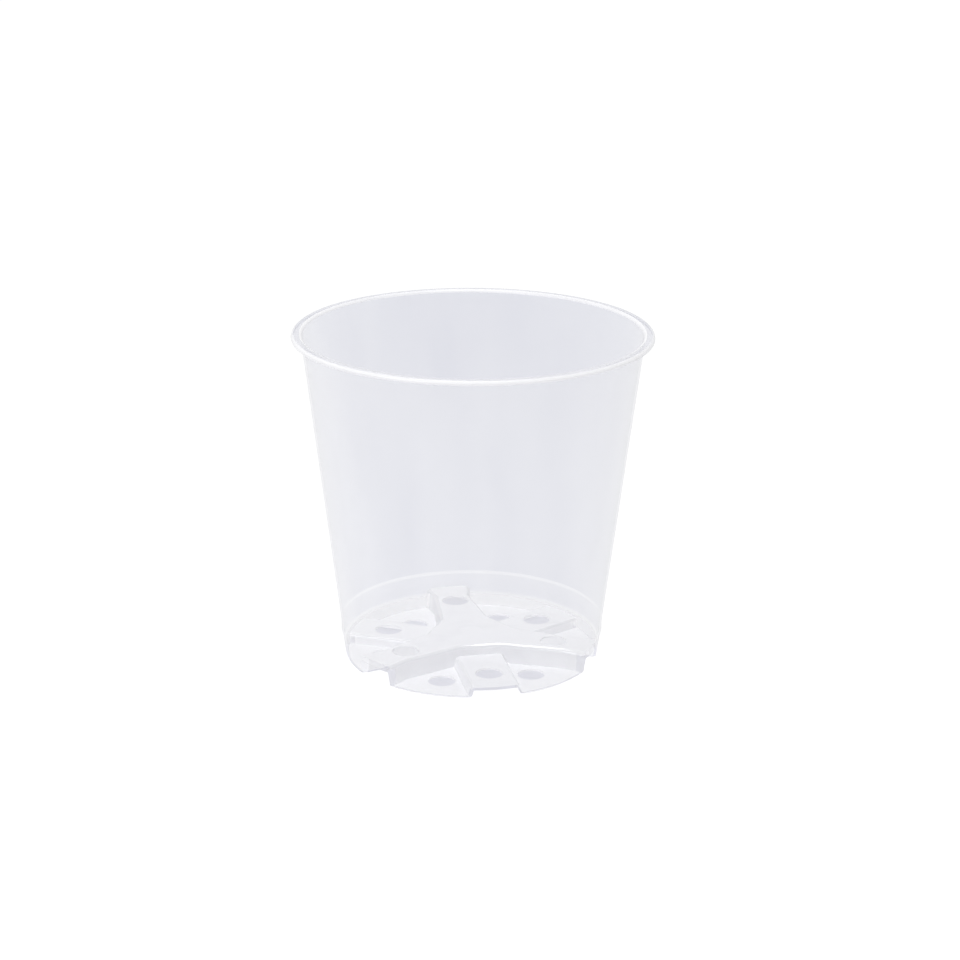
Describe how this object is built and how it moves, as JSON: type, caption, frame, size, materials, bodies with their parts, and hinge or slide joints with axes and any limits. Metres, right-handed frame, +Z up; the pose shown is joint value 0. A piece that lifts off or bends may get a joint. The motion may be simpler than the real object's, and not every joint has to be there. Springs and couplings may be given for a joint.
{
  "type": "nursery pot",
  "caption": "Thin-walled tapered plant nursery pot with a rolled rim, a stacking shoulder and a raised star floor between drained feet.",
  "frame": {"origin": "centre of the pot's axis at the level of the ground under the feet", "axes": "+Z up along the pot's axis, out of the mouth; -Y out of the middle of one pair of feet; +Y out along one raised arm of the floor"},
  "size_m": [0.12, 0.12, 0.1133],
  "materials": {
    "clear_polypropylene": "smooth, milky clear moulded polypropylene"
  },
  "bodies": {
    "root": {"nursery_pot": "clear_polypropylene"}
  },
  "joints": []
}
